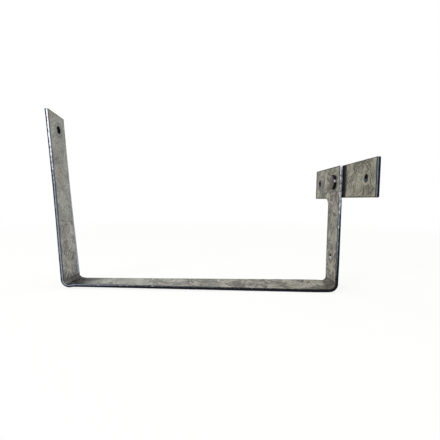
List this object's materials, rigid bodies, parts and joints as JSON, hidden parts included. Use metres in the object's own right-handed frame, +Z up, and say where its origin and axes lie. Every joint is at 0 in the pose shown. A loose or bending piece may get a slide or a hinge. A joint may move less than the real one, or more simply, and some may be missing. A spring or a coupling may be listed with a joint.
{
  "type": "gutter bracket",
  "caption": "Box gutter bracket: a flat galvanised strap folded into an open trough, with a riveted back plate that screws flat to a fascia board.",
  "frame": {"origin": "back face of the plate, halfway between the two fixing holes", "axes": "+X into the fascia board, square to the plate; +Z up; +Y along the gutter, from the long end of the plate towards the head's reach"},
  "size_m": [0.2769, 0.136, 0.1656],
  "materials": {
    "zinc": "hot-dip galvanised mild steel strap, fine grey spangle, satin",
    "plate_zinc": "hot-dip galvanised mild steel plate, coarser and duller spangle",
    "rivet_zinc": "dull brownish zinc on a steel rivet"
  },
  "bodies": {
    "root": {"strap": "zinc", "back_plate": "plate_zinc", "rivet": "rivet_zinc"}
  },
  "joints": []
}
